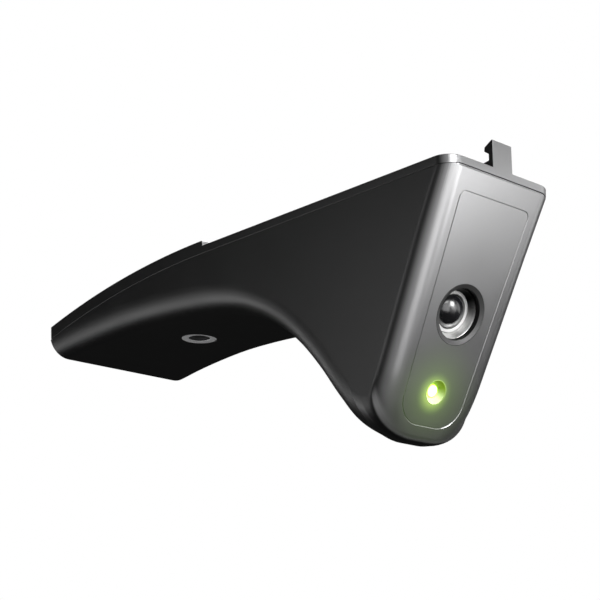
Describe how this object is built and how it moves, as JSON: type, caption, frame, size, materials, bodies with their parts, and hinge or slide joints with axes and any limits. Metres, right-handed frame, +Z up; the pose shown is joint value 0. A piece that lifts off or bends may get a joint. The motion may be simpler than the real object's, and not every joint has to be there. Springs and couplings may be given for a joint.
{
  "type": "launch monitor",
  "caption": "Overhead launch monitor: slim arm with a deep camera head, slanted lens face, status light, and a flat top with snap hook and step for a bracket.",
  "frame": {"origin": "middle of the flat mounting face on top, halfway between the snap hook's front edge and the raised step", "axes": "+Z up out of the mounting face towards the bracket, +X towards the camera head, +Y to the head's left as seen from behind the unit"},
  "size_m": [0.2348, 0.0776, 0.0986],
  "materials": {
    "housing_satin": "satin, near black on the arm and metallic silver grey on the slanted face",
    "cover_satin": "satin, near black",
    "gasket_rubber": "matt",
    "panel_silver": "silver-grey metallic satin",
    "bezel_grey": "satin",
    "bright_ring": "polished",
    "barrel_grey": "fine satin",
    "lens_glass": "coated, glossy",
    "black_plastic": "matt",
    "chip_black": "matt",
    "circuit_board": "solder mask",
    "tin_plate": "plain tin plate",
    "led_green": "lit, yellow green",
    "light_window": "clear with a green glow",
    "aluminium_plate": "milled",
    "ribbon_film": "polyimide film",
    "battery_wrap": "shrink film",
    "connector_white": "moulded",
    "wire_jacket": "smooth",
    "steel_shell": "drawn",
    "button_black": "satin",
    "spring_steel": "drawn wire",
    "mark_grey": "satin light grey",
    "screw_steel": "blackened"
  },
  "bodies": {
    "monitor": {"battery_lead": "wire_jacket", "battery_pack": "battery_wrap", "battery_plug": "connector_white", "battery_tray": "black_plastic", "button_spring": "spring_steel", "button_switch": "chip_black", "camera_board": "circuit_board", "camera_ribbon": "ribbon_film", "camera_screw_1": "screw_steel", "camera_screw_2": "screw_steel", "camera_screw_3": "screw_steel", "camera_screw_4": "screw_steel", "cover_screw_1": "screw_steel", "cover_screw_2": "screw_steel", "cover_screw_3": "screw_steel", "cover_screw_4": "screw_steel", "cover_screw_5": "screw_steel", "cover_screw_6": "screw_steel", "front_panel": "panel_silver", "heat_spreader": "aluminium_plate", "housing_gasket": "gasket_rubber", "image_sensor": "chip_black", "lens_barrel": "barrel_grey", "lens_bezel": "bezel_grey", "lens_front_glass": "lens_glass", "lens_holder": "black_plastic", "lens_reflector_ring": "bright_ring", "lower_housing": "housing_satin", "main_board": "circuit_board", "main_board_screw_1": "screw_steel", "main_board_screw_2": "screw_steel", "main_board_screw_3": "screw_steel", "main_board_screw_4": "screw_steel", "memory_chip": "chip_black", "processor": "chip_black", "radar_board": "circuit_board", "radar_screw_1": "screw_steel", "radar_screw_2": "screw_steel", "radar_shield": "tin_plate", "status_board": "circuit_board", "status_led": "led_green", "status_light_window": "light_window", "status_screw_1": "screw_steel", "status_screw_2": "screw_steel", "tail_board": "circuit_board", "tail_ribbon": "ribbon_film", "top_cover": "cover_satin", "tray_screw_1": "screw_steel", "tray_screw_2": "screw_steel", "underside_mark": "mark_grey", "usb_socket": "steel_shell", "wireless_module": "tin_plate"},
    "button": {"power_button": "button_black"}
  },
  "joints": [
    {"name": "power_button_press", "type": "slide", "parent": "monitor", "child": "button", "axis": [1, 0, 0], "range_m": [0, 0.0005], "stiffness_N_per_m": 2000, "springref_m": -0.0005, "deforming": ["button_spring"]}
  ]
}
